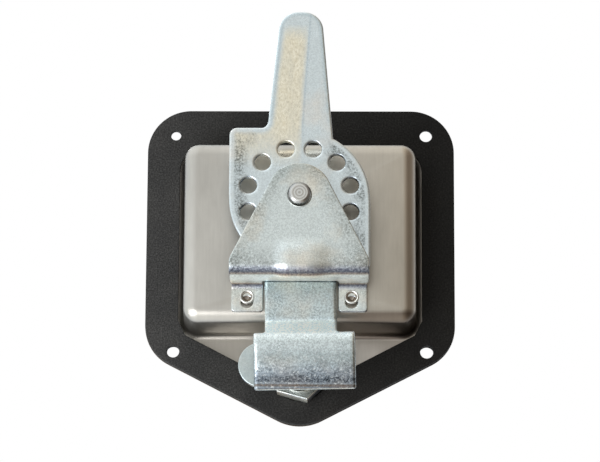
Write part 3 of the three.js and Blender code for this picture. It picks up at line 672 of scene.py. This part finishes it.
def plate(mesh, loops, low, high, roll, under, place=at, grid=None):
    """A sheet with rolled edges. The first loop is the outline, the rest are holes."""
    profile = rim_profile(low, high, roll, under)
    for loop in loops:
        rim(mesh, loop, profile, place)
    cap(mesh, [inset(loop, profile[0][0]) for loop in loops], high, place, grid)
    cap(mesh, [inset(loop, profile[-1][0]) for loop in loops], low, place, grid)


def turned(mesh, profile, x, y, sides):
    """A body turned about an axis along h, from a closed loop of (radius, h) points."""
    rings = []
    for radius, h in profile:
        turns = [2 * math.pi * k / sides for k in range(sides)]
        rings.append([at(x + radius * math.cos(a), y + radius * math.sin(a), h) for a in turns])
    skin(mesh, rings + rings[:1])


class Bend:
    """The middle line of a bent sheet, in y and h, measured by the length along it."""

    def __init__(self, path, start):
        self.parts = []
        self.marks = []
        here, length = Vector(path[0][:2]), start
        for i in range(1, len(path)):
            corner = Vector(path[i][:2])
            ahead = (corner - here).normalized()
            if i == len(path) - 1:
                self.parts.append((length, length + (corner - here).length, here, ahead, 0, 0))
                self.end = length + (corner - here).length
                break
            leave = (Vector(path[i + 1][:2]) - corner).normalized()
            turn = -ahead.angle_signed(leave)
            radius = path[i][2]
            reach = radius * math.tan(abs(turn) / 2)
            straight = (corner - here).length - reach
            self.parts.append((length, length + straight, here, ahead, 0, 0))
            length += straight
            start_point = corner - ahead * reach
            self.parts.append((length, length + radius * abs(turn), start_point, ahead, radius, turn))
            self.marks.append((length, length + radius * abs(turn)))
            length += radius * abs(turn)
            here = corner + leave * reach

    def reach(self, s):
        part = next((p for p in self.parts if s <= p[1]), self.parts[-1])
        s0, _, point, ahead, radius, turn = part
        if radius == 0:
            return point + ahead * (s - s0), Vector((ahead.y, -ahead.x))
        side = math.copysign(1, turn)
        angle = side * (s - s0) / radius
        centre = point + Vector((-ahead.y, ahead.x)) * radius * side
        spoke = Matrix.Rotation(angle, 2) @ (point - centre)
        now = Matrix.Rotation(angle, 2) @ ahead
        return centre + spoke, Vector((now.y, -now.x))

    def rows(self, fine, coarse, start):
        """Lengths for grid rows: fine in the bends, coarse between them."""
        rows, s = [], start
        while s < self.end:
            in_bend = any(a - fine <= s <= b + fine for a, b in self.marks)
            rows.append(-s)
            s += fine if in_bend else coarse
            for a, _ in self.marks:
                if rows[-1] > -a and s > a:
                    s = a
        return rows


def done(mesh, name, body, material, slot_name, *nodes, sharp=SHARP):
    """Welds the faces into an object that rides on a body and stands for CAD nodes."""
    bmesh.ops.remove_doubles(mesh, verts=mesh.verts, dist=WELD)
    bmesh.ops.dissolve_degenerate(mesh, edges=mesh.edges, dist=WELD)
    bmesh.ops.recalc_face_normals(mesh, faces=mesh.faces)
    data = bpy.data.meshes.new(name)
    mesh.to_mesh(data)
    mesh.free()
    data.shade_smooth()
    data.set_sharp_from_angle(angle=sharp)
    data.materials.append(material)
    piece = bpy.data.objects.new(name, data)
    bpy.context.scene.collection.objects.link(piece)
    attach(piece, body)
    if nodes:
        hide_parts(*nodes)
    return piece


def steps(start, end, step):
    count = max(1, round((end - start) / step))
    return [start + (end - start) * k / count for k in range(count + 1)]


# ------------------------------------------------------------ pan and gasket


def flange_outline(amount=0.0):
    side, top, shoulder = PAN_HALF - amount, PAN_TOP - amount, PAN_SHOULDER + amount / 2
    return rounded([
        (side, top, PAN_CORNER),
        (-side, top, PAN_CORNER),
        (-side, shoulder, PAN_CORNER),
        (0, PAN_APEX + amount, PAN_APEX_RADIUS),
        (side, shoulder, PAN_CORNER),
    ], 4)


def dish_loop(offset, count=14):
    radius = DISH_CORNER + offset
    x, top, bottom = DISH_HALF + offset - radius, DISH_TOP + offset - radius, DISH_BOTTOM - offset + radius
    centres = ((x, top), (-x, top), (-x, bottom), (x, bottom))
    loop = []
    for quarter, (cx, cy) in enumerate(centres):
        for k in range(count + 1):
            angle = (quarter + k / count) * math.pi / 2
            loop.append((cx + radius * math.cos(angle), cy + radius * math.sin(angle)))
    return loop


def dish_profile(move, count=10):
    """(offset, h) pairs from the dish's root to its face, on a skin moved outwards by a distance."""
    sin, cos = math.sin(DISH_DRAFT), math.cos(DISH_DRAFT)
    root = ((DISH_ROOT + (DISH_DEPTH - DISH_ROOT) * sin) / cos, DISH_ROOT)
    edge = (-DISH_EDGE * (1 - sin) / cos, DISH_DEPTH - DISH_EDGE)
    pairs = []
    for k in range(count + 1):
        angle = math.pi / 2 + k / count * (math.pi / 2 - DISH_DRAFT)
        reach = DISH_ROOT - move
        pairs.append((root[0] + reach * math.cos(angle), root[1] - reach * math.sin(angle)))
    for k in range(count + 1):
        angle = DISH_DRAFT + k / count * (math.pi / 2 - DISH_DRAFT)
        reach = DISH_EDGE + move
        pairs.append((edge[0] + reach * math.cos(angle), edge[1] + reach * math.sin(angle)))
    return pairs


def mount_holes(radii, lift=0.0):
    """The four holes: top left, top right, bottom left and bottom right, the lower two raised by lift."""
    places = [(s * HOLE_X, y) for y in (HOLE_TOP, HOLE_BOTTOM + lift) for s in (LEFT, RIGHT)]
    return [circle(x, y, radius, 40) for (x, y), radius in zip(places, radii)]


def make_pan():
    mesh = bmesh.new()
    hole_part, hole_edge = 1 / 3, 0.1
    flange_holes = mount_holes([HOLE_RADIUS] * 4) + [circle(0, LOCK_Y, LOCK_HOLE)]
    face_holes = [circle(0, 0, BUSHING_HOLE)]
    face_holes += [circle(s * RIVET_X, RIVET_Y, RIVET_HOLE, 24) for s in (LEFT, RIGHT)]
    for move, edge in ((0, PAN_REAR_EDGE), (-PAN_SHEET, PAN_FRONT_EDGE)):
        pairs = dish_profile(move)
        rings = [dish_loop(offset) for offset, _ in pairs]
        skin(mesh, [[at(x, y, h) for x, y in ring] for ring, (_, h) in zip(rings, pairs)])
        loops = [inset(flange_outline(), edge), list(reversed(rings[0]))]
        cap(mesh, loops + [inset(hole, edge * hole_part) for hole in flange_holes], move)
        cap(mesh, [rings[-1]] + [inset(hole, hole_edge) for hole in face_holes], DISH_DEPTH + move)
    for loop, part in [(flange_outline(), 1)] + [(hole, hole_part) for hole in flange_holes]:
        rear = PAN_REAR_EDGE * part
        rim(mesh, loop, rim_profile(-PAN_SHEET, 0, (rear, rear), PAN_FRONT_EDGE * part))
    for loop in face_holes:
        rim(mesh, loop, rim_profile(DISH_DEPTH - PAN_SHEET, DISH_DEPTH, (hole_edge, hole_edge), hole_edge))
    done(mesh, "dished_pan", "pan", STAINLESS, "stainless", "pan")


def make_gasket():
    """The opening follows the dish, then runs down two slopes to an arc round the lock's spacer."""
    foot = dish_profile(0)[0][0]
    side, side_end, slope_start = DISH_HALF + foot, DISH_BOTTOM + 4.6, GASKET_APEX + GASKET_SLOPE * DISH_HALF
    meet_x = -10.05
    start = math.degrees(math.atan2(GASKET_APEX - GASKET_SLOPE * meet_x - LOCK_Y, meet_x))
    opening = rounded([
        *[(x, y, 0) for x, y in dish_loop(foot, 10) if y > 0],
        (-side, side_end, 1),
        (-DISH_HALF, slope_start, 1),
        *arc(0, LOCK_Y, SPACER_RADIUS, start, -180 - start, 6),
        (DISH_HALF, slope_start, 1),
        (side, side_end, 1),
    ])
    holes = mount_holes([2.0, 2.45, 2.4, 2.55], lift=0.35)
    mesh = bmesh.new()
    loops = [flange_outline(GASKET_INSET), list(reversed(opening))] + holes
    plate(mesh, loops, GASKET_LOW, GASKET_HIGH, (0.35, 0.3), 0.15)
    done(mesh, "rubber_gasket", "pan", RUBBER, "rubber", "gasket")


# ------------------------------------------------------------ bracket

BRACKET_TOP, BRACKET_BEND_RADIUS, BEAD_RISE = 13, 4, 0.9
# A known fault: the holes in the feet lie this far below the rivets.
FOOT_HOLES_LOW = 2
BRACKET_BEND = Bend([
    (BRACKET_TOP, BRACKET_MID, 0), (BRACKET_FACE, BRACKET_MID, BRACKET_BEND_RADIUS),
    (BRACKET_FACE, FOOT_MID, BRACKET_BEND_RADIUS), (FOOT_END, FOOT_MID, 0),
], -BRACKET_TOP)


def smooth(value, low, high):
    t = min(1, max(0, (value - low) / (high - low)))
    return t * t * (3 - 2 * t)


def bracket_place(x, y, h):
    """From the flat sheet to the bent bracket, with the stiffening bead pressed out across its bend."""
    s = -y
    point, normal = BRACKET_BEND.reach(s)
    across = (1 - smooth(-x, 4.4, 9.4)) * (1 - smooth(x, 3.4, 13))
    along = smooth(s, 16.5, 22.5) * (1 - smooth(s, 29.5, 38))
    off = h - BRACKET_MID + BEAD_RISE * across * along
    return at(x, point.x + normal.x * off, point.y + normal.y * off)


def make_bracket():
    """The notch between the feet starts where the wall is NOTCH_TOP high."""
    half, shoulder, apex = BRACKET_HALF, BRACKET_SHOULDER, BRACKET_APEX
    tangent = math.degrees(math.atan2(shoulder, half) + math.acos(apex / math.hypot(half, shoulder)))
    face_bend_end, foot_bend_end = (mark[1] for mark in BRACKET_BEND.marks)
    notch = NOTCH_TOP - (BRACKET_MID - BRACKET_BEND_RADIUS) - face_bend_end
    inner_left, inner_right, outer, foot_end = -13.9, 14.8, 26, -BRACKET_BEND.end
    outline = rounded([
        *arc(0, 0, apex, tangent, 180 - tangent),
        (-half, shoulder, 5),
        (-half, notch - 1.5, 0.5),
        (-outer, notch - 3.5, 1),
        (-outer, foot_end, 1.4),
        (inner_left, foot_end, 1.4),
        (inner_left, notch, 1.2),
        (inner_right, notch, 1.2),
        (inner_right, foot_end, 1.4),
        (outer, foot_end, 1.4),
        (outer, notch - 3.5, 1),
        (half, notch - 1.5, 0.5),
        (half, shoulder, 5),
    ])
    rivet_y = RIVET_Y - (BRACKET_FACE - BRACKET_BEND_RADIUS) - foot_bend_end - FOOT_HOLES_LOW
    holes = [circle(0, 0, BRACKET_HOLE, 64)]
    holes += [circle(s * RIVET_X, rivet_y, RIVET_HOLE, 32) for s in (LEFT, RIGHT)]
    grid = (steps(-26, 26, 1.3), BRACKET_BEND.rows(0.3, 1.2, -11))
    mesh = bmesh.new()
    low, high = BRACKET_MID - BRACKET_SHEET / 2, BRACKET_MID + BRACKET_SHEET / 2
    plate(mesh, [divided(outline, 0.8)] + holes, low, high, (0.45, 0.35), 0.15, bracket_place, grid)
    done(mesh, "bracket_cover", "pan", ZINC_BRACKET, "zinc", "bracket")


def make_rivets():
    for name, x in (("left", -RIVET_X), ("right", RIVET_X)):
        mesh = bmesh.new()
        head, tail = 26.4, 22.4
        profile = rounded([
            (0, tail - 1.2, 0),
            (3.2, tail - 1.2, 0.5),
            (3.2, tail, 0.1),
            (2, tail, 0),
            (2, head, 0),
            (2.75, head, 0.1),
            (2.75, head + 0.45, 0.3),
            (2.4, head + 0.65, 0.2),
            (2.0, head + 0.45, 0.3),
            (1.15, head - 0.5, 0.3),
            (0.9, head - 0.9, 0.2),
            (0, head - 1.0, 0),
        ], 15)
        turned(mesh, profile, x, RIVET_Y, 48)
        done(mesh, f"hollow_rivet_{name}", "pan", RIVET_STEEL, "turned_steel", f"foot_rivet_{name}")


# ------------------------------------------------------------ toggle plate


def distance_to(points, loop):
    """How far each point is from the loop's nearest edge."""
    nearest = np.full(len(points), np.inf)
    for a, b in zip(loop, np.roll(loop, -1, 0)):
        along = np.clip(((points - a) @ (b - a)) / ((b - a) @ (b - a)), 0, 1)
        nearest = np.minimum(nearest, np.linalg.norm(points - a - along[:, None] * (b - a), axis=1))
    return nearest


def make_toggle_plate():
    finger_x, ear_x, square_half = 12.75, 12.4, 3.65
    finger_y = math.sqrt(PLATE_RADIUS ** 2 - finger_x ** 2)
    start = math.degrees(math.atan2(finger_y, finger_x))
    ear_angle = math.degrees(math.atan2(-PLATE_REACH, ear_x))
    lean, tip, tip_half, tip_radius = 0.35, 74.6, 7.9, 7.6
    outline = rounded([
        (finger_x, finger_y, 0.5),
        (lean + tip_half, tip, tip_radius),
        (lean - tip_half, tip, tip_radius),
        (-ear_x, PLATE_REACH, 2.7),
        (-PLATE_EAR, PLATE_REACH, 3),
        (-PLATE_EAR, 2, 1),
        *arc(0, 0, PLATE_RADIUS, 177, 360 + ear_angle)[1:],
        (ear_x, -PLATE_REACH, 0.5),
        (PLATE_EAR, -PLATE_REACH, 3),
        (PLATE_EAR, -2, 1),
        *arc(0, 0, PLATE_RADIUS, 3, start - 2),
    ])
    holes = []
    for k in range(RING_COUNT):
        angle = math.radians(360 / RING_COUNT * (k + 0.5))
        holes.append(circle(RING_RADIUS * math.cos(angle), RING_RADIUS * math.sin(angle), RING_HOLE))
    mesh = bmesh.new()
    loops = [outline] + holes + [square_hole(square_half, 0.3)]
    grid = (steps(-27, 27, 1.0), steps(-28, 72, 1.0))
    plate(mesh, loops, PLATE_LOW, PLATE_HIGH, (0.9, 0.45), 0.15, at, grid)
    name, sharp = "toggle_plate_stamping", math.radians(50)
    piece = done(mesh, name, "spindle", ZINC_PLATE, "zinc", "toggle_plate", sharp=sharp)
    spots = np.array([(v.co.x, v.co.z) for v in piece.data.vertices])
    far = piece.data.attributes.new("rim", "FLOAT", "POINT")
    far.data.foreach_set("value", distance_to(spots, np.array(outline) * MM).astype(np.float32))


# ------------------------------------------------------------ bolt

BOLT_BEND = Bend([
    (BOLT_TOP, BOLT_MID, 0), (-47, BOLT_MID, 4), (-54, 34.8, 4), (-65, 32.6, 15.5), (-72.3, 27.4, 0),
], -BOLT_TOP)


def bolt_place(x, y, h):
    point, normal = BOLT_BEND.reach(-y)
    off = h - BOLT_MID
    across, up, height = x, point.x + normal.x * off, point.y + normal.y * off
    cos, sin = math.cos(BOLT_TILT), math.sin(BOLT_TILT)
    return at(across * cos - up * sin, across * sin + up * cos, height)


def make_bolt():
    neck_left, neck_right, nose_left, nose_right = -14, 13.4, -18.4, 20.2
    nose_y = -(BOLT_BEND.marks[1][0] - 0.2)
    end = -BOLT_BEND.end
    outline = rounded([
        (neck_right, BOLT_TOP, 5),
        (neck_left, BOLT_TOP, 5),
        (neck_left, nose_y, 1.2),
        (nose_left, nose_y, 0.8),
        (nose_left, end, 0.8),
        (nose_right, end, 0.8),
        (nose_right, nose_y, 0.8),
        (neck_right, nose_y, 1.2),
    ])
    slot = rounded([
        (5.4, 5.6, 4.4), (-5.4, 5.6, 4.4), (-5.4, -17.2, 1), (-4.2, -17.2, 0), (-4.2, -25.6, 1),
        (4.2, -25.6, 1), (4.2, -18.9, 0), (10.4, -18.9, 1), (10.4, -3.4, 1), (5.4, -3.4, 0),
    ])
    grid = (steps(-18, 20, 1.9), BOLT_BEND.rows(0.35, 1.5, -13))
    mesh = bmesh.new()
    low, high = BOLT_MID - BOLT_SHEET / 2, BOLT_MID + BOLT_SHEET / 2
    loops = [divided(outline, 0.9), list(reversed(divided(slot, 0.9)))]
    plate(mesh, loops, low, high, (1.3, 1.1), 0.2, bolt_place, grid)
    done(mesh, "bolt_strap", "bolt", ZINC_BOLT, "zinc", "bolt")


# ------------------------------------------------------------ lock


def make_lock_nut():
    corner = NUT_FLATS / math.sqrt(3)
    turns = [NUT_TURN + k * math.pi / 3 + math.pi / 2 for k in range(6)]
    hexagon = [(corner * math.cos(turn), LOCK_Y + corner * math.sin(turn), 0.4) for turn in turns]
    mesh = bmesh.new()
    loops = [rounded(hexagon, 20), circle(0, LOCK_Y, NUT_HOLE, 64)]
    plate(mesh, loops, 3.2, 9.3, (0.7, 0.5), 0.3)
    done(mesh, "hexagon_nut", "pan", ZINC_SMALL, "zinc", "lock_nut")


def make_lock_cam():
    outline = rounded([
        *arc(-CAM_REACH, LOCK_Y, CAM_RADIUS, 90, 270, 5),
        *arc(0, LOCK_Y, CAM_RADIUS, -90, 90, 5),
    ])
    mesh = bmesh.new()
    plate(mesh, [outline, square_hole(3.15, 0.2, LOCK_Y)], 17, 19, (0.4, 0.35), 0.15)
    done(mesh, "cam_arm", "lock", ZINC_CAM, "zinc", "lock_cam")


make_pan()
make_gasket()
make_bracket()
make_rivets()
make_toggle_plate()
make_bolt()
make_lock_nut()
make_lock_cam()

# ------------------------------------------------------------ CAD nodes that keep their shape

NODE_MATERIALS = {
    "spindle": SPINDLE_STEEL, "drive_pin": TURNED, "plate_washer": TURNED,
    "hinge_pin": TURNED, "detent_plunger": TURNED, "drive_cam": ZINC_SMALL,
    "lock_spacer": ZINC_SMALL, "cam_washer": ZINC_SMALL, "cam_screw": ZINC_SMALL,
    "spindle_bushing": BRASS, "lock_plug": BRASS, "spindle_o_ring": RUBBER, "lock_body": CHROME,
    "bolt_spring": SPRING, "retaining_ring": SPRING, "detent_spring": SPRING, "t_handle": HANDLE_STEEL,
}
BEVEL_WIDTH, BEVEL_ANGLE, BEVEL_WELD = 0.25 * MM, math.radians(35), 1e-6
BEVELLED = {"spindle", "drive_cam", "lock_body", "t_handle", "cam_screw", "lock_spacer", "cam_washer"}

for node_name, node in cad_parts.items():
    if node.hide_render:
        continue
    node.data.materials.clear()
    node.data.materials.append(NODE_MATERIALS[node_name])
    if node_name in BEVELLED:
        weld = node.modifiers.new("weld", "WELD")
        weld.merge_threshold = BEVEL_WELD
        edge = node.modifiers.new("edge", "BEVEL")
        edge.width = BEVEL_WIDTH
        edge.segments = 2
        edge.limit_method = "ANGLE"
        edge.angle_limit = BEVEL_ANGLE

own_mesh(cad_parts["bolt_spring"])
